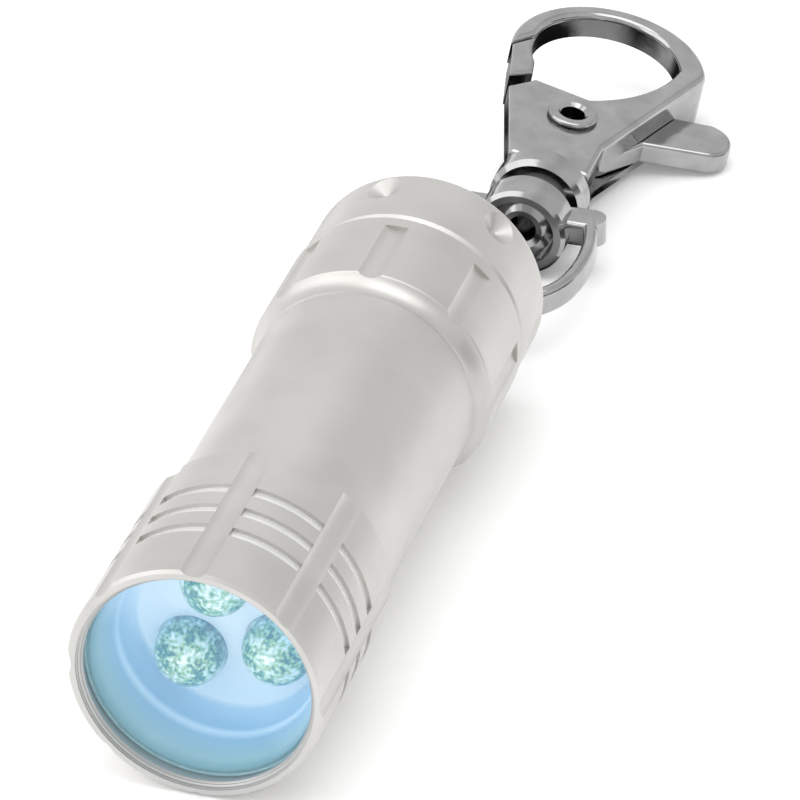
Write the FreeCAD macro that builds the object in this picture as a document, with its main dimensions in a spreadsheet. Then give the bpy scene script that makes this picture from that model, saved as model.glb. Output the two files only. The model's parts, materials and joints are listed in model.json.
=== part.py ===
import FreeCAD, Part
import math
import os
import Sketcher

# Keychain flashlight lying on its side, millimetres.
# The lamp's axis is Y: its light leaves towards -Y and the snap hook lies behind it, towards +Y.
# The origin is the centre of the bezel's front face. +Z is up.

Vector = FreeCAD.Vector
Y_AXIS = Vector(0, 1, 0)

SIZES = {
    # head, the part that twists
    "head_radius": 9.0,
    "head_length": 15.45,
    "head_edge": 0.22,
    "head_bore": 8.4,
    "head_shoulder": 12.2,
    "nose_bore": 7.5,
    "seal_bore": 8.02,
    "seal_depth": 0.75,
    # flutes and slots milled into the knurled bands
    "flute_count": 8,
    "flute_cutter": 1.62,
    "flute_depth": 0.3,
    "slot_first": 5.55,
    "slot_pitch": 2.5,
    "slot_width": 1.0,
    "slot_depth": 0.28,
    "slot_sweep": 34.0,
    # bezel ring, lens, cup, lamps and board
    "rim_inner": 8.02,
    "rim_recess": 0.12,
    "rim_tread": 0.1,
    "rim_back": 0.8,
    "lens_radius": 8.3,
    "lens_thick": 0.8,
    "lens_bevel": 0.12,
    "seal_wire": 0.12,
    "cup_radius": 8.35,
    "cup_mouth": 7.9,
    "cup_crease": 7.1,
    "cup_crease_at": 5.2,
    "cup_floor": 6.5,
    "cup_floor_at": 7.7,
    "cup_floor_thick": 1.2,
    "cup_neck_step": 0.25,
    "cup_skirt": 0.6,
    "easy_fit": 0.05,
    "led_radius": 2.5,
    "led_circle": 3.7,
    "led_dome_at": 7.3,
    "led_flange": 2.9,
    "led_flange_thick": 1.0,
    "led_turn": -12.0,
    "board_thick": 1.0,
    "pad_radius": 2.2,
    "pad_height": 0.55,
    "pad_bevel": 0.25,
    # barrel and collar
    "tube_radius": 8.12,
    "tube_start": 15.55,
    "bead_start": 38.25,
    "collar_start": 39.75,
    "flute_end": 46.5,
    "collar_end": 47.9,
    "groove_depth": 0.36,
    "battery_bore": 6.55,
    "nose_radius": 7.44,
    "nose_start": 12.75,
    "nose_bevel": 0.2,
    "tube_bevel": 0.12,
    "bead_line": 0.1,
    "bead_radius": 1.7,
    "plug_bore": 7.0,
    "plug_start": 41.4,
    # battery and contacts
    "cell_radius": 5.8,
    "cell_height": 5.4,
    "cell_start": 12.95,
    "sleeve_radius": 6.5,
    "sleeve_wall": 0.62,
    "sleeve_length": 22.6,
    "coil_radius": 4.0,
    "coil_wire": 0.3,
    "plate_thick": 0.5,
    # tail cap, its lug and the link ring
    "cap_radius": 8.83,
    "cap_start": 48.05,
    "cap_end": 54.7,
    "cap_turn": -18.0,
    "cap_round": 1.0,
    "ring_seat_at": 46.0,
    "ring_seat_width": 1.0,
    "ring_seat_deep": 0.85,
    "lug_round": 0.35,
    "plug_radius": 6.94,
    "dimple_at": 52.3,
    "dimple_radius": 1.5,
    "dimple_depth": 0.85,
    "dimple_flat": 0.12,
    "dimple_over": 0.5,
    "lug_radius": 2.6,
    "lug_hole": 1.42,
    "lug_thick": 2.2,
    "lug_hole_at": 56.6,
    "link_radius": 4.9,
    "link_wire": 0.45,
    "link_at": 60.5,
    "link_drop": 2.5,
    # swivel eye and hook share one long axis, which lies low and parallel to the lamp
    "swivel_side": 2.2,
    "swivel_drop": 5.15,
    "hook_lean": 11.0,
    "eye_thick": 2.1,
    "eye_band": 1.1,
    "eye_end": 60.5,
    "eye_end_radius": 5.16,
    "eye_wide_at": 67.5,
    "eye_half_width": 5.35,
    "eye_side_radius": 14.0,
    "eye_bridge": 71.7,
    "eye_top": 74.4,
    "eye_barrel": 3.55,
    "eye_barrel_bevel": 0.3,
    "shoulder_side": 4.95,
    "shoulder_back": 1.25,
    "shoulder_radius": 1.15,
    "eye_barrel_start": 70.7,
    "eye_barrel_end": 73.7,
    "eye_recess": 2.7,
    "eye_recess_depth": 1.5,
    "eye_bore": 1.76,
    "post_radius": 1.7,
    "post_hollow": 1.1,
    "lip_radius": 2.35,
    "lip_start": 71.5,
    "neck_radius": 3.75,
    "neck_start": 75.2,
    "neck_end": 77.6,
    # hook plates, measured up from the swivel axis
    "plate_top": 2.4,
    "plate_gap_top": 0.3,
    "plate_gap_base": -1.7,
    "plate_base": -2.4,
    "loop_radius": 7.75,
    "loop_side": 0.05,
    "loop_at": 94.4,
    "opening_radius": 5.8,
    "opening_side": -0.2,
    "opening_at": 94.8,
    "edge_slope": 17.5,
    "edge_reach": 6.6,
    "edge_length": 10.8,
    "neck_half_width": 3.1,
    "corner_radius": 2.0,
    "edge_round": 0.5,
    # trigger lever, its eyelet and its spring
    "pivot_side": -0.3,
    "pivot_at": 84.9,
    "eyelet_radius": 1.35,
    "eyelet_flange": 1.95,
    "eyelet_rise": 0.5,
    "eyelet_hole": 0.95,
    "lever_top": 0.2,
    "lever_base": -1.6,
    "lever_bore": 1.43,
    "spring_radius": 1.8,
    "spring_wire": 0.22,
    "spring_pocket": 2.2,
    "spring_pocket_deep": 1.0,
    "tab_round": 0.3,
}

document = FreeCAD.newDocument("KeychainFlashlight")
sheet = document.addObject("Spreadsheet::Sheet", "Sheet")
for row, (alias, number) in enumerate(SIZES.items(), start=1):
    sheet.set(f"A{row}", alias)
    sheet.set(f"B{row}", str(number))
    sheet.setAlias(f"B{row}", alias)
document.recompute()


class Size:
    """A length or angle that knows its value and the sheet expression it comes from."""

    def __init__(self, value, text):
        self.value = float(value)
        self.text = text

    def __add__(self, other):
        other = as_size(other)
        return Size(self.value + other.value, f"({self.text} + {other.text})")

    def __sub__(self, other):
        other = as_size(other)
        return Size(self.value - other.value, f"({self.text} - {other.text})")

    def __mul__(self, other):
        other = as_size(other)
        return Size(self.value * other.value, f"({self.text} * {other.text})")

    def __truediv__(self, other):
        other = as_size(other)
        return Size(self.value / other.value, f"({self.text} / {other.text})")

    def __neg__(self):
        return Size(-self.value, f"(0 - {self.text})")


def as_size(value):
    return value if isinstance(value, Size) else Size(value, repr(float(value)))


def size(alias):
    return Size(sheet.get(alias), f"Sheet.{alias}")


def root(value):
    return Size(math.sqrt(value.value), f"sqrt({value.text})")


def cosine(angle):
    return Size(math.cos(math.radians(angle.value)), f"cos({angle.text} * 1 deg)")


def sine(angle):
    return Size(math.sin(math.radians(angle.value)), f"sin({angle.text} * 1 deg)")


def bind(target, path, value):
    """Bind one property of an object to the sheet."""
    target.setExpression(path, as_size(value).text)


def new_body(label):
    body = document.addObject("PartDesign::Body", label)
    body.Label = label
    return body


def origin_feature(body, role):
    return next(item for item in body.Origin.OriginFeatures if item.Role == role)


def new_sketch(body, role="XY_Plane", lift=None):
    """A sketch on one of the body's own origin planes, moved along the plane's normal by lift."""
    sketch = body.newObject("Sketcher::SketchObject", f"{body.Label}_sketch")
    sketch.AttachmentSupport = [(origin_feature(body, role), "")]
    sketch.MapMode = "FlatFace"
    if lift is not None:
        bind(sketch, ".AttachmentOffset.Base.z", lift)
    return sketch


def pin_down(sketch, geometry, vertex, across, along):
    """Fix one vertex at sheet sized distances from the sketch's origin."""
    for kind, line, value in (("DistanceX", -2, across), ("DistanceY", -1, along)):
        value = as_size(value)
        if abs(value.value) < 1e-9:
            sketch.addConstraint(Sketcher.Constraint("PointOnObject", geometry, vertex, line))
            continue
        number = sketch.addConstraint(
            Sketcher.Constraint(kind, -1, 1, geometry, vertex, value.value))
        sketch.setExpression(f"Constraints[{number}]", value.text)


def arc_middle(start, end, radius, left_turn):
    """Midpoint of the shorter arc from start to end, which bends left or right as it goes."""
    chord = end - start
    half = chord.Length / 2
    rise = radius - math.sqrt(max(radius * radius - half * half, 0))
    normal = Vector(chord.y, -chord.x, 0).normalize()
    return (start + end) / 2 + normal * (rise if left_turn else -rise)


def outline(sketch, corners):
    """Close a loop of lines and arcs.

    Each corner is (across, along) or (across, along, radius, turn), where the last two shape
    the arc that leads on to the next corner: turn is "left" or "right".
    """
    places = [Vector(as_size(c[0]).value, as_size(c[1]).value, 0) for c in corners]
    starts = []
    ends = []
    for index, corner in enumerate(corners):
        here = places[index]
        there = places[(index + 1) % len(corners)]
        if len(corner) == 2:
            number = sketch.addGeometry(Part.LineSegment(here, there), False)
            starts.append((number, 1))
            ends.append((number, 2))
            continue
        radius = as_size(corner[2])
        left_turn = corner[3] == "left"
        middle = arc_middle(here, there, radius.value, left_turn)
        number = sketch.addGeometry(Part.Arc(here, middle, there), False)
        starts.append((number, 1 if left_turn else 2))
        ends.append((number, 2 if left_turn else 1))
        bend = sketch.addConstraint(Sketcher.Constraint("Radius", number, radius.value))
        sketch.setExpression(f"Constraints[{bend}]", radius.text)
    for index, corner in enumerate(corners):
        sketch.addConstraint(Sketcher.Constraint("Coincident", *ends[index - 1], *starts[index]))
        pin_down(sketch, *starts[index], corner[0], corner[1])


def ring(sketch, across, along, radius):
    """A circle at sheet sized distances from the sketch's origin."""
    place = Vector(as_size(across).value, as_size(along).value, 0)
    radius = as_size(radius)
    number = sketch.addGeometry(Part.Circle(place, Vector(0, 0, 1), radius.value), False)
    bend = sketch.addConstraint(Sketcher.Constraint("Radius", number, radius.value))
    sketch.setExpression(f"Constraints[{bend}]", radius.text)
    pin_down(sketch, number, 3, across, along)


def turned(body, corners, feature="PartDesign::Revolution", axis="V_Axis"):
    """Turn a profile of (radius, distance along Y) corners about the sketch's axis."""
    sketch = new_sketch(body)
    outline(sketch, corners)
    turn = body.newObject(feature, f"{body.Label}_turn")
    turn.Profile = sketch
    turn.ReferenceAxis = (sketch, [axis])
    turn.Angle = 360
    return turn


def raised(body, sketch, height, both_ways=False):
    pad = body.newObject("PartDesign::Pad", f"{body.Label}_pad")
    pad.Profile = sketch
    bind(pad, "Length", height)
    pad.Midplane = both_ways
    return pad


def cut_through(body, sketch):
    pocket = body.newObject("PartDesign::Pocket", f"{body.Label}_cut")
    pocket.Profile = sketch
    pocket.Type = "ThroughAll"
    pocket.Midplane = True
    return pocket


def repeated(body, features, count):
    """Repeat features round the body's Y axis."""
    pattern = body.newObject("PartDesign::PolarPattern", f"{body.Label}_pattern")
    pattern.Originals = features
    pattern.Axis = (origin_feature(body, "Y_Axis"), [""])
    pattern.Angle = 360
    bind(pattern, "Occurrences", count)
    body.Tip = pattern
    return pattern


def rounded(body, picker, radius):
    """Fillet the edges of the body so far that picker accepts."""
    document.recompute()
    base = body.Tip
    names = [f"Edge{n}" for n, edge in enumerate(base.Shape.Edges, start=1) if picker(edge)]
    fillet = body.newObject("PartDesign::Fillet", f"{body.Label}_round")
    fillet.Base = (base, names)
    bind(fillet, "Radius", radius)
    return fillet


def lies_at(edge, height):
    box = edge.BoundBox
    return abs(box.ZMin - height) < 1e-3 and abs(box.ZMax - height) < 1e-3


def flutes(body, start, end):
    """Shallow round flutes along the body's skin, the first one at the top."""
    sketch = new_sketch(body, "XZ_Plane", -end)
    centre = size("head_radius") - size("flute_depth") + size("flute_cutter")
    ring(sketch, 0, centre, size("flute_cutter"))
    cut = body.newObject("PartDesign::Pocket", f"{body.Label}_flute")
    cut.Profile = sketch
    cut.Type = "Length"
    bind(cut, "Length", end - start)
    cut.Reversed = True
    repeated(body, [cut], size("flute_count"))


def slots(body):
    """Three short circumferential slots on every land between two flutes."""
    features = []
    for index in range(3):
        sketch = new_sketch(body)
        middle = size("slot_first") + size("slot_pitch") * index
        half = size("slot_width") / 2
        bottom = size("head_radius") - size("slot_depth")
        outline(sketch, [(bottom, middle - half), (size("head_radius") + 1, middle - half),
                         (size("head_radius") + 1, middle + half), (bottom, middle + half)])
        groove = body.newObject("PartDesign::Groove", f"{body.Label}_slot")
        groove.Profile = sketch
        groove.ReferenceAxis = (sketch, ["V_Axis"])
        bind(groove, "Angle", size("slot_sweep"))
        groove.Midplane = True
        turn = Size(180, "180 deg") / size("flute_count")
        bind(sketch, ".AttachmentOffset.Rotation.Angle", turn)
        sketch.AttachmentOffset = FreeCAD.Placement(Vector(), FreeCAD.Rotation(Y_AXIS, turn.value))
        features.append(groove)
    repeated(body, features, size("flute_count"))


def head_shell():
    body = new_body("head_shell")
    outer = size("head_radius")
    edge = size("head_edge")
    length = size("head_length")
    turned(body, [
        (size("head_bore"), 0), (outer - edge, 0), (outer, edge), (outer, length - edge),
        (outer - edge, length), (size("seal_bore"), length),
        (size("seal_bore"), length - size("seal_depth")),
        (size("nose_bore"), length - size("seal_depth")),
        (size("nose_bore"), size("head_shoulder")), (size("head_bore"), size("head_shoulder"))])
    flutes(body, as_size(-1), length + 1)
    slots(body)


def bezel_ring():
    body = new_body("bezel_ring")
    outer = size("head_bore")
    inner = size("rim_inner")
    front = size("rim_recess")
    back = size("rim_back")
    step = (outer - inner) / 3
    tread = size("rim_tread")
    turned(body, [
        (inner + step * 2, front), (outer, front), (outer, back), (inner, back),
        (inner, front + tread * 4), (inner + step, front + tread * 3),
        (inner + step, front + tread * 2), (inner + step * 2, front + tread)])


def front_lens():
    body = new_body("front_lens")
    radius = size("lens_radius")
    front = size("rim_back")
    back = front + size("lens_thick")
    bevel = size("lens_bevel")
    turned(body, [(0, front), (radius - bevel, front), (radius, front + bevel),
                  (radius, back - bevel), (radius - bevel, back), (0, back)])


def torus(label, along, major, minor):
    """A ring of round section about the lamp's axis."""
    body = new_body(label)
    sketch = new_sketch(body)
    ring(sketch, major, along, minor)
    turn = body.newObject("PartDesign::Revolution", f"{label}_turn")
    turn.Profile = sketch
    turn.ReferenceAxis = (sketch, ["V_Axis"])
    turn.Angle = 360


def reflector_cup():
    body = new_body("reflector_cup")
    outer = size("cup_radius")
    front = size("rim_back") + size("lens_thick") + size("easy_fit")
    ledge = front + size("seal_wire") * 2
    neck = outer - size("cup_neck_step")
    skirt = outer - size("cup_skirt")
    floor = size("cup_floor_at")
    under = floor + size("cup_floor_thick")
    board = size("head_shoulder") - size("board_thick")
    turned(body, [
        (size("cup_mouth"), front), (neck, front), (neck, ledge), (outer, ledge), (outer, board),
        (skirt, board), (skirt, under), (0, under), (0, floor),
        (size("cup_floor"), floor), (size("cup_crease"), size("cup_crease_at"))])
    sketch = new_sketch(body, "XZ_Plane", -(under + 1))
    ring(sketch, 0, size("led_circle"), size("led_radius") + size("easy_fit"))
    cut = body.newObject("PartDesign::Pocket", "reflector_cup_hole")
    cut.Profile = sketch
    cut.Type = "Length"
    bind(cut, "Length", size("cup_floor_thick") + 2)
    cut.Reversed = True
    repeated(body, [cut], as_size(3))
    turn_about_y(body, size("led_turn"))


def turn_about_y(item, angle):
    item.Placement = FreeCAD.Placement(Vector(), FreeCAD.Rotation(Y_AXIS, angle.value))
    bind(item, "Placement.Rotation.Angle", angle)


def led_lamps():
    """Three domed 5 mm lamps in a triangle."""
    base = size("head_shoulder") - size("board_thick")
    ledge = base - size("led_flange_thick")
    dome = size("led_dome_at")
    radius = size("led_radius")
    for index in range(3):
        label = f"led_{index + 1}"
        body = new_body(label)
        turned(body, [(0, dome - radius, radius, "left"), (radius, dome), (radius, ledge),
                      (size("led_flange"), ledge), (size("led_flange"), base), (0, base)])
        angle = size("led_turn") + 120.0 * index
        swing = math.radians(angle.value)
        place = Vector(math.sin(swing), 0, math.cos(swing)) * size("led_circle").value
        body.Placement = FreeCAD.Placement(place, FreeCAD.Rotation(Y_AXIS, angle.value))
        turn = f"{angle.text} * 1 deg"
        body.setExpression("Placement.Base.x", f"Sheet.led_circle * sin({turn})")
        body.setExpression("Placement.Base.z", f"Sheet.led_circle * cos({turn})")


def led_board():
    body = new_body("led_board")
    back = size("head_shoulder")
    front = back - size("board_thick")
    radius = size("cup_radius") - size("easy_fit")
    turned(body, [(0, front), (radius, front), (radius, back), (0, back)])


def contact_pad():
    body = new_body("contact_pad")
    front = size("head_shoulder")
    back = front + size("pad_height")
    radius = size("pad_radius")
    bevel = size("pad_bevel")
    turned(body, [(0, front), (radius, front), (radius, back - bevel), (radius - bevel, back),
                  (0, back)])


def barrel():
    body = new_body("barrel")
    tube = size("tube_radius")
    collar = size("head_radius")
    bore = size("battery_bore")
    plug_bore = size("plug_bore")
    bead = size("bead_start")
    end = size("collar_end")
    line = size("bead_line")
    nose = size("nose_radius")
    nose_bevel = size("nose_bevel")
    tube_bevel = size("tube_bevel")
    turned(body, [
        (bore, size("nose_start")), (nose - nose_bevel, size("nose_start")),
        (nose, size("nose_start") + nose_bevel), (nose, size("tube_start")),
        (tube - tube_bevel, size("tube_start")), (tube, size("tube_start") + tube_bevel),
        (tube, bead - line), (tube - line, bead),
        (tube + line, bead + line, size("bead_radius"), "right"),
        (collar - 0.08, size("collar_start")), (collar, size("collar_start") + line),
        (collar, end - size("groove_depth")), (collar - size("groove_depth"), end),
        (plug_bore, end), (plug_bore, size("plug_start") - line), (bore, size("plug_start") - line)])
    flutes(body, size("tube_start") + 3, size("flute_end"))


def battery_sleeve():
    body = new_body("battery_sleeve")
    front = size("cell_start") + 0.25
    back = front + size("sleeve_length")
    inner = size("sleeve_radius") - size("sleeve_wall")
    turned(body, [(inner, front), (size("sleeve_radius"), front),
                  (size("sleeve_radius"), back), (inner, back)])


def battery_cells():
    """Four button cells, each can narrower at its negative face."""
    radius = size("cell_radius")
    for index in range(4):
        body = new_body(f"battery_cell_{index + 1}")
        front = size("cell_start") + size("cell_height") * index
        back = front + size("cell_height")
        turned(body, [(0, front), (radius - 0.3, front), (radius, front + 0.3),
                      (radius, back - 0.6), (radius - 0.3, back - 0.3), (radius - 0.9, back - 0.3),
                      (radius - 0.9, back), (0, back)])


def coil(label, radius, wire, pitch, height):
    """An open coil spring made by sweeping a round section along a helix."""
    helix = document.addObject("Part::Helix", f"{label}_helix")
    bind(helix, "Radius", radius)
    bind(helix, "Pitch", pitch)
    bind(helix, "Height", height)
    section = document.addObject("Part::Circle", f"{label}_section")
    bind(section, "Radius", wire)
    section.Placement = FreeCAD.Placement(
        Vector(radius.value, 0, 0), FreeCAD.Rotation(Vector(1, 0, 0), 90))
    bind(section, "Placement.Base.x", radius)
    sweep = document.addObject("Part::Sweep", label)
    sweep.Label = label
    sweep.Sections = [section]
    sweep.Spine = (helix, ["Edge1"])
    sweep.Solid = True
    sweep.Frenet = True
    return sweep


def tail_contacts():
    """Coil spring between the last cell and the contact plate on the tail plug."""
    wire = size("coil_wire")
    stack_end = size("cell_start") + size("cell_height") * 4
    plate_front = size("plug_start") - size("plate_thick")
    height = plate_front - stack_end - wire * 2 - 0.04
    start = stack_end + wire + 0.02
    spring = coil("tail_spring", size("coil_radius"), wire, height / 4.5, height)
    spring.Placement = FreeCAD.Placement(
        Vector(0, start.value, 0), FreeCAD.Rotation(Vector(1, 0, 0), -90))
    bind(spring, "Placement.Base.y", start)
    body = new_body("tail_contact")
    radius = size("battery_bore") - 0.3
    turned(body, [(0, plate_front), (radius, plate_front), (radius, size("plug_start")),
                  (0, size("plug_start"))])


def tail_cap():
    body = new_body("tail_cap")
    radius = size("cap_radius")
    plug = size("plug_radius")
    groove = size("head_radius") - size("groove_depth")
    seat = size("ring_seat_at")
    seat_end = seat + size("ring_seat_width")
    floor = plug - size("ring_seat_deep")
    bend = size("cap_round")
    start = size("cap_start")
    end = size("cap_end")
    turned(body, [
        (0, size("plug_start")), (plug - 0.3, size("plug_start")), (plug, size("plug_start") + 0.3),
        (plug, seat), (floor, seat), (floor, seat_end), (plug, seat_end), (plug, start),
        (groove, start), (radius, start + 0.3), (radius, end - bend, bend, "left"),
        (radius - bend, end), (0, end)])
    dimple = body.newObject("PartDesign::SubtractiveCone", "tail_cap_dimple")
    over = size("dimple_over")
    deep = size("dimple_depth") - size("dimple_flat")
    slope = size("dimple_radius") / size("dimple_depth")
    bind(dimple, "Radius1", size("dimple_radius") - slope * deep)
    bind(dimple, "Radius2", size("dimple_radius") + slope * over)
    bind(dimple, "Height", deep + over)
    depth = radius - deep
    dimple.Placement = FreeCAD.Placement(
        Vector(0, size("dimple_at").value, depth.value), FreeCAD.Rotation())
    bind(dimple, "Placement.Base.y", size("dimple_at"))
    bind(dimple, "Placement.Base.z", depth)
    repeated(body, [dimple], as_size(6))
    sketch = new_sketch(body)
    lug = size("lug_radius")
    outline(sketch, [(-lug, end - 0.6), (lug, end - 0.6), (lug, size("lug_hole_at"), lug, "left"),
                     (0, size("lug_hole_at") + lug, lug, "left"), (-lug, size("lug_hole_at"))])
    ring(sketch, 0, size("lug_hole_at"), size("lug_hole"))
    raised(body, sketch, size("lug_thick"), both_ways=True)
    document.recompute()
    top = size("lug_thick").value / 2

    def on_lug(edge):
        outside = edge.BoundBox.YMax > end.value + 0.01
        return outside and (lies_at(edge, top) or lies_at(edge, -top))

    rounded(body, on_lug, size("lug_round"))
    turn_about_y(body, size("cap_turn"))


def link_ring():
    """Split ring through the lug, hanging in the plane of the lug's hole."""
    body = new_body("link_ring")
    sketch = new_sketch(body, lift=-size("link_drop"))
    along = size("link_at")
    number = sketch.addGeometry(
        Part.LineSegment(Vector(-2, along.value, 0), Vector(2, along.value, 0)), True)
    pin_down(sketch, number, 1, as_size(-2), along)
    pin_down(sketch, number, 2, as_size(2), along)
    ring(sketch, 0, along + size("link_radius"), size("link_wire"))
    turn = body.newObject("PartDesign::Revolution", "link_ring_turn")
    turn.Profile = sketch
    turn.ReferenceAxis = (sketch, ["Axis0"])
    turn.Angle = 357
    turn_about_y(body, size("cap_turn"))


def put_on_swivel(item, lean=None):
    """Move an item modelled about its own Y axis onto the swivel axis, leaning by lean."""
    angle = 0 if lean is None else lean.value
    place = Vector(size("swivel_side").value, 0, -size("swivel_drop").value)
    item.Placement = FreeCAD.Placement(place, FreeCAD.Rotation(Y_AXIS, angle))
    bind(item, "Placement.Base.x", size("swivel_side"))
    bind(item, "Placement.Base.z", -size("swivel_drop"))
    if lean is not None:
        bind(item, "Placement.Rotation.Angle", lean)


def eye_profile(grow):
    """Corners of the eye's inner outline grown by a band, ready for outline()."""
    end_radius = size("eye_end_radius")
    side_radius = size("eye_side_radius")
    side_centre = size("eye_half_width") - side_radius
    end_centre = size("eye_end") + end_radius
    reach = side_radius - end_radius
    lean = (size("eye_wide_at") - end_centre) / reach
    flat = -side_centre / reach
    join_across = flat * (end_radius + grow)
    join_along = end_centre - lean * (end_radius + grow)
    top = size("eye_bridge") if grow == 0 else size("eye_top")
    rise = top - size("eye_wide_at")
    side = side_radius + grow
    top_across = side_centre + root(side * side - rise * rise)
    return [
        (-top_across, top, side, "left"), (-join_across, join_along, end_radius + grow, "left"),
        (0, size("eye_end") - grow, end_radius + grow, "left"),
        (join_across, join_along, side, "left"), (top_across, top)]


def swivel_eye():
    body = new_body("swivel_eye")
    thick = size("eye_thick")
    sketch = new_sketch(body)
    outline(sketch, eye_profile(size("eye_band")))
    outline(sketch, eye_profile(0))
    raised(body, sketch, thick, both_ways=True)
    half = thick.value / 2
    rounded(body, lambda edge: lies_at(edge, half) or lies_at(edge, -half), size("edge_round"))
    start = size("eye_barrel_start")
    end = size("eye_barrel_end")
    barrel_radius = size("eye_barrel")
    bevel = size("eye_barrel_bevel")
    turned(body, [(0, start), (barrel_radius - bevel, start), (barrel_radius, start + bevel),
                  (barrel_radius, end - bevel), (barrel_radius - bevel, end), (0, end)])
    for side in (-1, 1):
        shoulder = new_sketch(body, lift=-thick / 2)
        ring(shoulder, size("shoulder_side") * side, size("eye_top") - size("shoulder_back"),
             size("shoulder_radius"))
        raised(body, shoulder, thick - 0.15)
    recess = start + size("eye_recess_depth")
    turned(body, [
        (0, start - 1), (size("eye_recess"), start - 1), (size("eye_recess"), recess),
        (size("eye_bore"), recess), (size("eye_bore"), size("eye_top") + 1),
        (0, size("eye_top") + 1)], "PartDesign::Groove")
    put_on_swivel(body)


def loop_point(radius, degrees):
    """A corner on the loop's outer circle, or on one that shares its centre."""
    return (size("loop_side") + radius * cosine(degrees), size("loop_at") + radius * sine(degrees))


def right_edge():
    """The outline's right side: neck, straight edge, round corner and start of the loop."""
    radius = size("loop_radius")
    corner = size("corner_radius")
    slope = size("edge_slope")
    reach = size("edge_reach")
    foot = loop_point(reach, -slope)
    run = radius - corner
    inset = reach - corner
    climb = root(run * run - inset * inset)
    length = size("edge_length")
    return [
        (size("neck_half_width"), size("neck_end")),
        (foot[0] - sine(slope) * length, foot[1] - cosine(slope) * length),
        (foot[0] + sine(slope) * climb, foot[1] + cosine(slope) * climb, corner, "left"),
        (size("loop_side") + radius / run * (cosine(slope) * inset + sine(slope) * climb),
         size("loop_at") + radius / run * (cosine(slope) * climb - sine(slope) * inset))]


def hook_body():
    body = new_body("hook_body")
    low = size("plate_base")
    top = size("plate_top")
    radius = size("loop_radius")
    opening = size("opening_radius")
    right = right_edge()
    loop_start = right[-1]
    neck_left = (-3.3, size("neck_end"))
    gap_low = (-5.95, 86.6)
    gap_high = (-4.35, 88.6)
    dip = (0.2, 88.15)
    mouth = (size("opening_side") + opening * cosine(as_size(17)),
             size("opening_at") + opening * sine(as_size(17)))
    upper = new_sketch(body, lift=size("plate_gap_top"))
    outline(upper, [
        neck_left, *right[:-1], (*loop_start, radius, "left"), loop_point(radius, as_size(194)),
        (size("opening_side") - opening, size("opening_at"), opening, "right"),
        (*mouth, 10.5, "right"), dip, gap_high, gap_low])
    raised(body, upper, top - size("plate_gap_top"))
    rounded(body, lambda edge: lies_at(edge, top.value), size("edge_round"))
    lower = new_sketch(body, lift=low)
    outline(lower, [(-2.2, size("neck_end")), *right, (6.0, 97.9), (5.6, 96.3, 10.5, "right"),
                    dip, (-3.9, 88.3), (-4.7, 86.4)])
    raised(body, lower, size("plate_gap_base") - low)
    heel = new_sketch(body, lift=low)
    outline(heel, [(5.15, 93.1), (5.75, 93.0), *right[2:], (6.0, 97.9), (5.6, 96.3)])
    raised(body, heel, top - low - 1)
    spine = new_sketch(body, lift=low)
    outline(spine, [(-2.2, size("neck_end")), (3.1, size("neck_end")), (2.7, 80.3), (-1.8, 80.3),
                    (-2.4, 82.4), (-3.4, 82.4)])
    raised(body, spine, top - low - 0.5)
    neck = size("neck_radius")
    start = size("neck_start")
    end = size("neck_end")
    post = size("post_radius")
    lip = size("lip_start")
    hollow = size("post_hollow")
    turned(body, [
        (0, lip), (hollow, lip), (hollow + 0.5, lip - 0.15), (size("lip_radius"), lip + 0.3),
        (size("lip_radius"), lip + 0.6), (post, lip + 0.65), (post, size("eye_top") + 0.12),
        (post + 0.7, size("eye_top") + 0.12), (post + 0.7, start), (neck - 0.4, start),
        (neck, start + 0.4), (neck, end - 0.4), (neck - 0.4, end), (0, end + 1)])
    turned(body, [(0, lip - 1), (hollow, lip - 1), (hollow, start + 1), (0, start + 1.6)],
           "PartDesign::Groove")
    hole = new_sketch(body)
    ring(hole, size("pivot_side"), size("pivot_at"), size("eyelet_radius") + 0.02)
    cut_through(body, hole)
    put_on_swivel(body, size("hook_lean"))


def trigger_lever():
    body = new_body("trigger_lever")
    low = size("lever_base")
    arm = new_sketch(body, lift=low)
    outline(arm, [
        (-5.2, 87.9), (-2.6, 83.4, 2.7, "left"), (1.2, 82.65), (3.3, 84.6), (5.2, 87.75),
        (10.0, 89.1, 1.9, "left"), (11.35, 91.4, 2.2, "left"), (9.2, 93.45), (5.6, 92.6),
        (3.0, 88.2), (0.4, 87.75), (-2.9, 87.4), (-4.4, 89.6), (-5.2, 89.9)])
    raised(body, arm, size("lever_top") - low)
    nose = new_sketch(body, lift=low + 1.1)
    outline(nose, [(-6.3, 87.95), (-4.75, 89.25), (-5.1, 91.0, 6.0, "right"), (-5.92, 94.45),
                   (-7.33, 92.4)])
    raised(body, nose, size("plate_top") - low - 1.1)
    top = size("plate_top").value
    tab = size("lever_top").value
    base = low.value

    def on_tab(edge):
        return edge.BoundBox.XMax > 5.0 and (lies_at(edge, tab) or lies_at(edge, base))

    rounded(body, lambda edge: lies_at(edge, top) or on_tab(edge), size("tab_round"))
    bore = new_sketch(body)
    ring(bore, size("pivot_side"), size("pivot_at"), size("lever_bore"))
    cut_through(body, bore)
    pocket = new_sketch(body, lift=size("lever_top"))
    ring(pocket, size("pivot_side"), size("pivot_at"), size("spring_pocket"))
    sink = body.newObject("PartDesign::Pocket", "trigger_lever_pocket")
    sink.Profile = pocket
    bind(sink, "Length", size("spring_pocket_deep"))
    put_on_swivel(body, size("hook_lean"))


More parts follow.
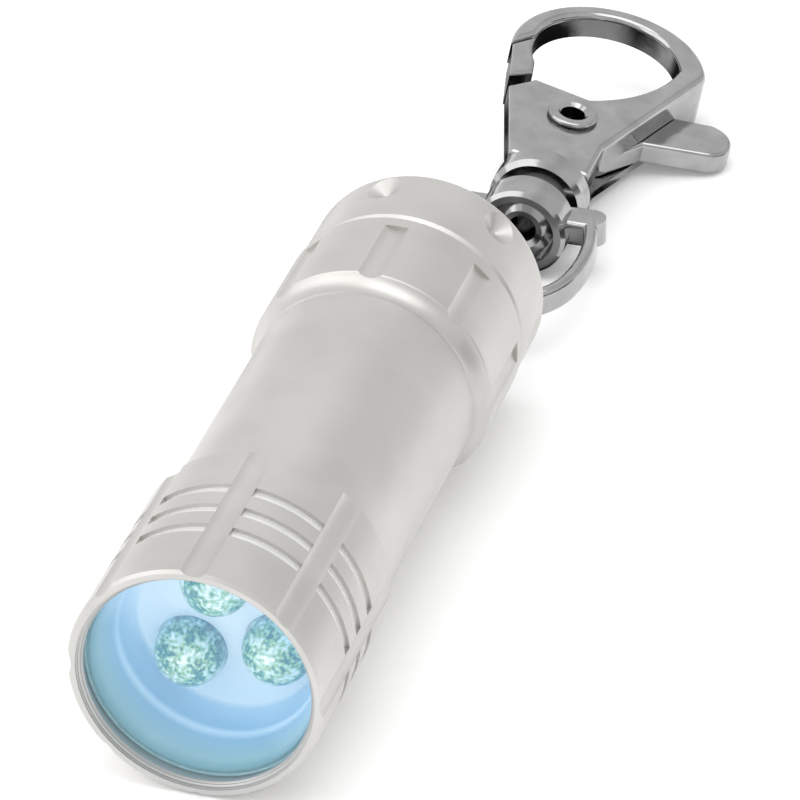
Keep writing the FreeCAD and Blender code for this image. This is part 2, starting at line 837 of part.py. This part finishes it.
def trigger_eyelet():
    """Hollow rivet: the eyelet's axis is the trigger's pivot."""
    body = new_body("trigger_eyelet")
    flange = size("eyelet_flange")
    shank = size("eyelet_radius")
    top = size("plate_top")
    low = size("plate_base")
    hole = size("eyelet_hole")
    sketch = new_sketch(body, "XZ_Plane")
    outline(sketch, [
        (hole, low - 0.35), (flange - 0.2, low - 0.35), (flange, low), (shank, low), (shank, top),
        (flange - 0.25, top), (flange, top + 0.2), (flange, top + 0.25, 0.25, "left"),
        (flange - 0.25, top + size("eyelet_rise")),
        (hole + 0.3, top + size("eyelet_rise")), (hole, top + size("eyelet_rise") - 0.25)])
    turn = body.newObject("PartDesign::Revolution", "trigger_eyelet_turn")
    turn.Profile = sketch
    turn.ReferenceAxis = (sketch, ["V_Axis"])
    turn.Angle = 360
    put_on_pivot(body)


def put_on_pivot(item, rise=Size(0, "0")):
    """Stand an item modelled about its own Z axis on the trigger's pivot, higher by rise."""
    lean = size("hook_lean")
    across = size("pivot_side")
    side = size("swivel_side") + across * cosine(lean) + rise * sine(lean)
    up = rise * cosine(lean) - across * sine(lean) - size("swivel_drop")
    place = Vector(side.value, size("pivot_at").value, up.value)
    item.Placement = FreeCAD.Placement(place, FreeCAD.Rotation(Y_AXIS, lean.value))
    bind(item, "Placement.Base.x", side)
    bind(item, "Placement.Base.y", size("pivot_at"))
    bind(item, "Placement.Base.z", up)
    bind(item, "Placement.Rotation.Angle", lean)


def trigger_spring():
    """Torsion spring round the eyelet, in the lever's pocket, which pushes the nose shut."""
    body = new_body("trigger_spring")
    wire = size("spring_wire")
    sketch = new_sketch(body, "XZ_Plane")
    ring(sketch, size("spring_radius"), 0, wire)
    turn = body.newObject("PartDesign::Revolution", "trigger_spring_turn")
    turn.Profile = sketch
    turn.ReferenceAxis = (sketch, ["V_Axis"])
    turn.Angle = 330
    put_on_pivot(body, size("lever_top") - size("spring_pocket_deep") / 2)


def check_and_write():
    document.recompute()
    failed = [item.Label for item in document.Objects
              if "Invalid" in item.State or "Error" in item.State]
    if failed:
        raise RuntimeError(f"failed to recompute: {failed}")
    os.makedirs("parts", exist_ok=True)
    kept = [item for item in document.Objects
            if item.TypeId in ("PartDesign::Body", "Part::Sweep")]
    for item in kept:
        shape = item.Shape
        if shape.isNull() or not shape.isValid() or len(shape.Solids) != 1:
            raise RuntimeError(f"{item.Label} is not one valid solid")
        shape.exportStep(f"parts/{item.Label}.step")


head_shell()
bezel_ring()
front_lens()
torus("lens_seal", size("rim_back") + size("lens_thick") + size("seal_wire"),
      size("head_bore") - size("seal_wire") - 0.02, size("seal_wire"))
reflector_cup()
led_lamps()
led_board()
contact_pad()
barrel()
torus("head_o_ring", size("head_length") - 0.4, size("nose_radius") + 0.29, as_size(0.27))
battery_sleeve()
battery_cells()
tail_contacts()
tail_cap()
torus("tail_o_ring", size("collar_end") - 1.4, size("plug_radius") - 0.4, as_size(0.44))
link_ring()
swivel_eye()
hook_body()
trigger_lever()
trigger_eyelet()
trigger_spring()
check_and_write()
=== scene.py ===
import json
import math

import bmesh
import bpy
from mathutils import Matrix, Vector


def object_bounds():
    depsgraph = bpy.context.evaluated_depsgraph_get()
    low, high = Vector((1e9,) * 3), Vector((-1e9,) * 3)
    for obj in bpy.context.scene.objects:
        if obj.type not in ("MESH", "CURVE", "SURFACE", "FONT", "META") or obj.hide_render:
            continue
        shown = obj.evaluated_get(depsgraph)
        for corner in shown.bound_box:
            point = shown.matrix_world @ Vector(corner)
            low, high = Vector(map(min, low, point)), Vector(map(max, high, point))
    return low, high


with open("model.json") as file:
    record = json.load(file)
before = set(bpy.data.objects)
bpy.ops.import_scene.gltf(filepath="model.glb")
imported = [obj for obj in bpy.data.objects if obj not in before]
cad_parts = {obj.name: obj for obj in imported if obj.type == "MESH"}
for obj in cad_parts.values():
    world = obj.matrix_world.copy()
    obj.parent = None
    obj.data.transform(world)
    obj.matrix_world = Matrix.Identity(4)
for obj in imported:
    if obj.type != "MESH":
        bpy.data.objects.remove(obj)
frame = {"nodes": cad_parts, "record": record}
CAD_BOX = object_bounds()
NODES = frame["nodes"]
MILLI = 0.001

# The floor lies a hair under the object, and the cards lie a hair over the floor.
FLOOR_HEIGHT = CAD_BOX[0][2] - 0.02 * MILLI
FLOOR_HALF = 1.5
CARD_LIFT = 0.1 * MILLI

# The head's short slots: how deep they are cut, how exact that is, and where the last one ends.
SLOT_DEPTH = 0.28 * MILLI
SLOT_SLACK = 0.012 * MILLI
SLOTS_END = 11.5 * MILLI

# Distances back from the bezel at which the cup's and the lamps' colours start and stop changing;
# these changes carry painted shade at the cup's mouth and the lamps' rims, and painted highlights on
# the cup's crease and the lamps' tips.
CUP_MOUTH = 1.6 * MILLI
CUP_FLOOR = 9.0 * MILLI
LAMP_TIP = 5.5 * MILLI
LAMP_RIM = 7.8 * MILLI

# Heights between which the cup's lower colours, which carry the painted crease highlight, give way to
# its upper ones.
CUP_LOW = -4.0 * MILLI
CUP_HIGH = 6.0 * MILLI


# ---------------------------------------------------------------- materials

class Paint:
    """Builds one procedural material, node by node."""

    def __init__(self, name):
        self.material = bpy.data.materials.new(name)
        self.material.use_nodes = True
        self.tree = self.material.node_tree
        self.shader = self.tree.nodes["Principled BSDF"]
        self.place = self.tree.nodes.new("ShaderNodeTexCoord").outputs["Object"]

    def node(self, kind, **values):
        node = self.tree.nodes.new(kind)
        for name, value in values.items():
            setattr(node, name, value)
        return node

    def link(self, source, target):
        self.tree.links.new(source, target)

    def stretched(self, scale):
        """Object coordinates scaled by a different amount along each axis."""
        mapping = self.node("ShaderNodeMapping")
        mapping.inputs["Scale"].default_value = scale
        self.link(self.place, mapping.inputs["Vector"])
        return mapping.outputs["Vector"]

    def noise(self, size, detail=3.0, vector=None):
        """Noise with features of about that size in metres."""
        node = self.node("ShaderNodeTexNoise")
        node.inputs["Scale"].default_value = 1.0 / size
        node.inputs["Detail"].default_value = detail
        self.link(vector or self.place, node.inputs["Vector"])
        return node.outputs["Fac"]

    def ramp(self, source, stops):
        node = self.node("ShaderNodeValToRGB")
        elements = node.color_ramp.elements
        while len(elements) < len(stops):
            elements.new(0.5)
        for element, (position, colour) in zip(elements, stops):
            element.position = position
            element.color = (*colour, 1.0)
        self.link(source, node.inputs["Fac"])
        return node.outputs["Color"]

    def spread(self, source, low, high):
        """Map a 0 to 1 value on to low to high."""
        node = self.node("ShaderNodeMapRange")
        node.inputs["To Min"].default_value = low
        node.inputs["To Max"].default_value = high
        self.link(source, node.inputs["Value"])
        return node.outputs["Result"]

    def bump(self, source, depth, strength=0.5):
        node = self.node("ShaderNodeBump")
        node.inputs["Distance"].default_value = depth
        node.inputs["Strength"].default_value = strength
        self.link(source, node.inputs["Height"])
        self.link(node.outputs["Normal"], self.shader.inputs["Normal"])

    def between(self, axis, start, end):
        """0 to 1 as one object coordinate goes from start to end."""
        parts = self.node("ShaderNodeSeparateXYZ")
        self.link(self.place, parts.inputs["Vector"])
        node = self.node("ShaderNodeMapRange")
        node.inputs["From Min"].default_value = start
        node.inputs["From Max"].default_value = end
        self.link(parts.outputs[axis], node.inputs["Value"])
        return node.outputs["Result"]

    def mixed(self, factor, first, second):
        """One colour at factor 0, the other at factor 1."""
        node = self.node("ShaderNodeMix", data_type="RGBA")
        self.link(factor, node.inputs["Factor"])
        self.link(first, node.inputs["A"])
        self.link(second, node.inputs["B"])
        return node.outputs["Result"]

    def painted_glow(self, source, strength):
        """Painted light: emission in the material's own colour, standing in for light scattered from
        within.
        """
        self.link(source, self.shader.inputs["Emission Color"])
        self.fixed(Emission_Strength=strength)

    def fixed(self, **values):
        for name, value in values.items():
            self.shader.inputs[name.replace("_", " ")].default_value = value

    def colour(self, source):
        self.link(source, self.shader.inputs["Base Color"])

    def roughness(self, source):
        self.link(source, self.shader.inputs["Roughness"])


def anodised():
    """Satin silver: a fine blasted grain under a clear oxide."""
    paint = Paint("satin_anodised")
    grain = paint.noise(0.00012, 2.0)
    cloud = paint.noise(0.006, 2.0)
    paint.colour(paint.ramp(cloud, [(0.3, (0.545, 0.532, 0.512)), (0.7, (0.605, 0.592, 0.572))]))
    paint.roughness(paint.spread(grain, 0.33, 0.5))
    paint.bump(grain, 0.000014, 0.4)
    paint.fixed(Metallic=0.85, Specular_IOR_Level=0.5)
    return paint.material


def turned_ring():
    """Bare turned metal: rings left by the tool, round the lamp's axis."""
    paint = Paint("turned_metal")
    wave = paint.node("ShaderNodeTexWave", wave_type="RINGS", rings_direction="Y")
    wave.inputs["Scale"].default_value = 1400.0
    wave.inputs["Distortion"].default_value = 0.2
    paint.link(paint.place, wave.inputs["Vector"])
    rings = wave.outputs["Fac"]
    paint.colour(paint.ramp(rings, [(0.0, (0.44, 0.43, 0.42)), (1.0, (0.58, 0.57, 0.555))]))
    paint.roughness(paint.spread(rings, 0.36, 0.5))
    paint.bump(rings, 0.00002, 0.4)
    paint.fixed(Metallic=0.8)
    return paint.material


def nickel():
    """Polished plating over a die casting, with faint waves and fine wiping scratches."""
    paint = Paint("nickel_plate")
    wave = paint.noise(0.0022, 2.0)
    scratch = paint.noise(0.0002, 2.0, paint.stretched((6.0, 0.6, 6.0)))
    paint.colour(paint.ramp(wave, [(0.3, (0.35, 0.35, 0.355)), (0.7, (0.44, 0.44, 0.44))]))
    paint.roughness(paint.spread(scratch, 0.09, 0.2))
    paint.bump(wave, 0.0001, 0.45)
    paint.fixed(Metallic=1.0)
    return paint.material


def pale_cup_painted_light():
    """Moulded cup: pale round the lamps, blue down its wall, with a painted highlight along the
    crease, painted shade darkening the teal mouth, and a painted glow.
    """
    paint = Paint("pale_blue_cup")
    depth = paint.between("Y", CUP_MOUTH, CUP_FLOOR)
    # Painted shade: the darkest teal at the mouth. Painted highlight: the pale band at 0.46 is light
    # along the crease.
    low = paint.ramp(depth, [
        (0.02, (0.15, 0.32, 0.38)), (0.14, (0.26, 0.46, 0.54)), (0.38, (0.24, 0.46, 0.68)),
        (0.46, (0.56, 0.76, 0.94)), (0.52, (0.26, 0.50, 0.76)), (0.76, (0.38, 0.62, 0.85)),
        (0.84, (0.72, 0.86, 0.96))])
    # The upper wall: the same painted shade at the mouth, without the crease highlight.
    high = paint.ramp(depth, [
        (0.02, (0.20, 0.38, 0.46)), (0.2, (0.33, 0.52, 0.68)), (0.5, (0.44, 0.64, 0.84)),
        (0.84, (0.76, 0.88, 0.97))])
    colour = paint.mixed(paint.between("Z", CUP_LOW, CUP_HIGH), low, high)
    paint.colour(colour)
    haze = paint.noise(0.0006, 2.0)
    paint.roughness(paint.spread(haze, 0.14, 0.26))
    paint.bump(haze, 0.00001, 0.3)
    # Painted light: the cup glows in its own colour, though it is no lamp.
    paint.painted_glow(colour, 0.24)
    paint.fixed(Specular_IOR_Level=0.6, Coat_Weight=0.4, Coat_Roughness=0.08)
    return paint.material


def lens_glass():
    """Thin clear window: mostly see-through, with a cold tint."""
    paint = Paint("lens_clear")
    haze = paint.noise(0.003, 1.0)
    paint.colour(paint.ramp(haze, [(0.2, (0.62, 0.86, 0.97)), (0.8, (0.72, 0.92, 1.0))]))
    paint.roughness(paint.spread(haze, 0.02, 0.05))
    paint.fixed(IOR=1.45, Alpha=0.08)
    return paint.material


def led_epoxy():
    """Clear epoxy: flecks of teal, green and white, with a painted highlight brightest at the dome's
    tip, painted shade darkening its rim, and a painted glow.
    """
    paint = Paint("led_epoxy")
    swirl = paint.noise(0.0011, 4.0)
    flecks = paint.noise(0.00028, 6.0)
    half_flecks = paint.node("ShaderNodeMath", operation="MULTIPLY")
    half_flecks.inputs[1].default_value = 0.5
    paint.link(flecks, half_flecks.inputs[0])
    pattern = paint.node("ShaderNodeMath", operation="MULTIPLY_ADD")
    pattern.inputs[1].default_value = 0.55
    paint.link(swirl, pattern.inputs[0])
    paint.link(half_flecks.outputs["Value"], pattern.inputs[2])
    glints = pattern.outputs["Value"]
    # Painted highlight: the tip's colours are a lit copy of the flecks, rising to near white.
    tip = paint.ramp(glints, [
        (0.42, (0.04, 0.22, 0.30)), (0.48, (0.10, 0.38, 0.36)), (0.53, (0.38, 0.62, 0.40)),
        (0.58, (0.52, 0.80, 0.82)), (0.66, (0.95, 1.0, 1.0))])
    # Painted shade: the rim's colours are a darker, shaded copy of the same flecks.
    rim = paint.ramp(glints, [
        (0.42, (0.02, 0.14, 0.24)), (0.56, (0.08, 0.34, 0.48)), (0.7, (0.30, 0.62, 0.78))])
    colour = paint.mixed(paint.between("Y", LAMP_TIP, LAMP_RIM), tip, rim)
    paint.colour(colour)
    # Painted light: a glow in the epoxy's own colour, not the lamp switched on.
    paint.painted_glow(colour, 0.25)
    paint.roughness(paint.spread(flecks, 0.05, 0.2))
    paint.bump(glints, 0.0003, 0.6)
    paint.fixed(IOR=1.52, Coat_Weight=1.0, Coat_Roughness=0.04)
    return paint.material


def polished_cut():
    """Bright slot bottoms left by the cutter, along which it travelled."""
    paint = Paint("polished_cut")
    lines = paint.noise(0.0001, 2.0, paint.stretched((1.0, 8.0, 1.0)))
    paint.colour(paint.ramp(lines, [(0.3, (0.80, 0.80, 0.79)), (0.7, (0.93, 0.93, 0.92))]))
    paint.roughness(paint.spread(lines, 0.12, 0.3))
    paint.bump(lines, 0.00001, 0.3)
    paint.fixed(Metallic=0.6)
    return paint.material


def soft_plastic(name, dark, light, rough):
    """Moulded plastic, rubber or board with a fine grain."""
    paint = Paint(name)
    grain = paint.noise(0.0003, 3.0)
    paint.colour(paint.ramp(grain, [(0.3, dark), (0.7, light)]))
    paint.roughness(paint.spread(grain, rough - 0.06, rough + 0.06))
    paint.bump(grain, 0.00002, 0.3)
    return paint.material


def plain_metal(name, dark, light, rough):
    """Bare or plated metal with a fine grain drawn out along the lamp."""
    paint = Paint(name)
    grain = paint.noise(0.0002, 3.0, paint.stretched((4.0, 1.0, 4.0)))
    paint.colour(paint.ramp(grain, [(0.3, dark), (0.7, light)]))
    paint.roughness(paint.spread(grain, rough - 0.06, rough + 0.06))
    paint.bump(grain, 0.00001, 0.3)
    paint.fixed(Metallic=1.0)
    return paint.material


LOOKS = {
    "shell": anodised(),
    "rim": turned_ring(),
    "lens": lens_glass(),
    "cup": pale_cup_painted_light(),
    "led": led_epoxy(),
    "board": soft_plastic("board_green", (0.03, 0.16, 0.08), (0.05, 0.22, 0.11), 0.45),
    "contact": plain_metal("gold_contact", (0.62, 0.42, 0.14), (0.78, 0.56, 0.22), 0.25),
    "seal": soft_plastic("black_rubber", (0.012, 0.012, 0.013), (0.03, 0.03, 0.032), 0.6),
    "cell": plain_metal("cell_can", (0.52, 0.52, 0.52), (0.66, 0.66, 0.66), 0.28),
    "sleeve": soft_plastic("sleeve_black", (0.02, 0.02, 0.022), (0.04, 0.04, 0.042), 0.5),
    "spring": plain_metal("spring_wire", (0.48, 0.48, 0.49), (0.64, 0.64, 0.64), 0.2),
    "hook": nickel(),
}


def polish_slots():
    """The bottoms of the head's short slots lie just inside its skin, at one radius."""
    mesh = NODES["head_shell"].data
    mesh.materials.append(polished_cut())
    outer = max(math.hypot(corner.co.x, corner.co.z) for corner in mesh.vertices)
    bottom = outer - SLOT_DEPTH
    for face in mesh.polygons:
        radii = [math.hypot(mesh.vertices[n].co.x, mesh.vertices[n].co.z) for n in face.vertices]
        at_bottom = all(abs(radius - bottom) < SLOT_SLACK for radius in radii)
        if at_bottom and face.center.y < SLOTS_END:
            face.material_index = 1


def dress_nodes():
    """Give every CAD node the look of its slot, and the slots and the seal looks of their own."""
    slots = {part["node"]: part["material_slot"] for part in frame["record"]["subparts"]}
    for name, item in NODES.items():
        item.data.materials.clear()
        item.data.materials.append(LOOKS[slots[name]])
    polish_slots()
    NODES["lens_seal"].data.materials[0] = soft_plastic(
        "clear_silicone", (0.30, 0.55, 0.62), (0.40, 0.66, 0.72), 0.3)


# ---------------------------------------------------------------- studio

def sheet(name, corners, material):
    """A flat sheet that belongs to the studio and not to the object."""
    work = bmesh.new()
    work.faces.new([work.verts.new(corner) for corner in corners])
    mesh = bpy.data.meshes.new(name)
    work.to_mesh(mesh)
    work.free()
    mesh.materials.append(material)
    item = bpy.data.objects.new(name, mesh)
    bpy.context.scene.collection.objects.link(item)
    return item


def white_floor():
    """A white table top, which glows a little so that it photographs as white."""
    paint = Paint("floor_white")
    cloud = paint.noise(0.3, 1.0)
    paint.colour(paint.ramp(cloud, [(0.2, (0.93, 0.93, 0.93)), (0.8, (0.95, 0.95, 0.95))]))
    paint.fixed(Roughness=0.9, Specular_IOR_Level=0.1, Emission_Color=(1.0, 1.0, 1.0, 1.0),
                Emission_Strength=0.14)
    half = FLOOR_HALF
    item = sheet("floor", [(-half, -half, 0), (half, -half, 0), (half, half, 0), (-half, half, 0)],
                 paint.material)
    item.location = (0, 0, FLOOR_HEIGHT)


def flag(name, corners):
    """A patchy dark card that only mirror reflections see, as photographers use round bright metal."""
    paint = Paint(name)
    paint.colour(paint.ramp(paint.noise(0.009, 1.0), [
        (0.42, (0.01, 0.01, 0.01)), (0.62, (0.55, 0.55, 0.55))]))
    paint.fixed(Roughness=1.0, Specular_IOR_Level=0.0)
    item = sheet(name, corners, paint.material)
    item.visible_camera = False
    item.visible_diffuse = False
    item.visible_transmission = False
    item.visible_shadow = False


def flags():
    """One card lies under the hook's left side and one stands at the lamp's right."""
    low = FLOOR_HEIGHT + CARD_LIFT
    left, right = -0.03, 0.0065
    near, far = 0.058, 0.13
    flag("card_under_hook", [
        (left, near, low), (right, near, low), (right, far, low), (left, far, low)])
    side, top = 0.16, 0.045
    near, far = -0.05, 0.16
    flag("card_right", [
        (side, near, low), (side, far, low), (side, far, top), (side, near, top)])


def soft_box(name, place, target, width, power):
    """A square soft light at place that shines on target."""
    data = bpy.data.lights.new(name, "AREA")
    data.shape = "RECTANGLE"
    data.size = width
    data.size_y = width
    data.energy = power
    item = bpy.data.objects.new(name, data)
    bpy.context.scene.collection.objects.link(item)
    item.location = place
    aim = Vector(target) - Vector(place)
    item.rotation_euler = aim.to_track_quat("-Z", "Y").to_euler()


def surroundings():
    """White all round, with one greyer band on the +X side for the metal to reflect."""
    world = bpy.data.worlds.new("studio")
    bpy.context.scene.world = world
    world.use_nodes = True
    nodes = world.node_tree.nodes
    links = world.node_tree.links
    way = nodes.new("ShaderNodeTexCoord")
    parts = nodes.new("ShaderNodeSeparateXYZ")
    links.new(way.outputs["Generated"], parts.inputs["Vector"])
    half = nodes.new("ShaderNodeMath")
    half.operation = "MULTIPLY_ADD"
    half.inputs[1].default_value = 0.5
    half.inputs[2].default_value = 0.5
    links.new(parts.outputs["X"], half.inputs[0])
    ramp = nodes.new("ShaderNodeValToRGB")
    stops = ((0.0, 1.0), (0.5, 1.0), (0.62, 0.75), (0.8, 0.95), (1.0, 1.0))
    while len(ramp.color_ramp.elements) < len(stops):
        ramp.color_ramp.elements.new(0.5)
    for element, (position, level) in zip(ramp.color_ramp.elements, stops):
        element.position = position
        element.color = (level, level, level, 1.0)
    links.new(half.outputs["Value"], ramp.inputs["Fac"])
    links.new(ramp.outputs["Color"], nodes["Background"].inputs["Color"])
    nodes["Background"].inputs["Strength"].default_value = 0.92


def studio():
    white_floor()
    flags()
    surroundings()
    middle = (0.0, 0.03, 0.0)
    soft_box("key_left", (-0.35, -0.15, 0.35), middle, width=0.5, power=0.9)
    soft_box("top", (0.05, 0.05, 0.5), middle, width=0.4, power=0.9)


def camera():
    """A long lens at the lamp's front right, looking down on it."""
    data = bpy.data.cameras.new("camera")
    data.lens = 304.466
    data.sensor_width = 36.0
    data.clip_start = 0.01
    item = bpy.data.objects.new("camera", data)
    bpy.context.scene.collection.objects.link(item)
    item.location = (0.12058, -0.35006, 0.25684)
    right = Vector((0.9569, 0.2905, 0.0)).normalized()
    back = -Vector((-0.2454, 0.8084, -0.5351)).normalized()
    up = back.cross(right)
    item.rotation_euler = Matrix((right, up, back)).transposed().to_euler()
    bpy.context.scene.camera = item


dress_nodes()
studio()
camera()
bpy.context.scene.view_settings.view_transform = "Standard"
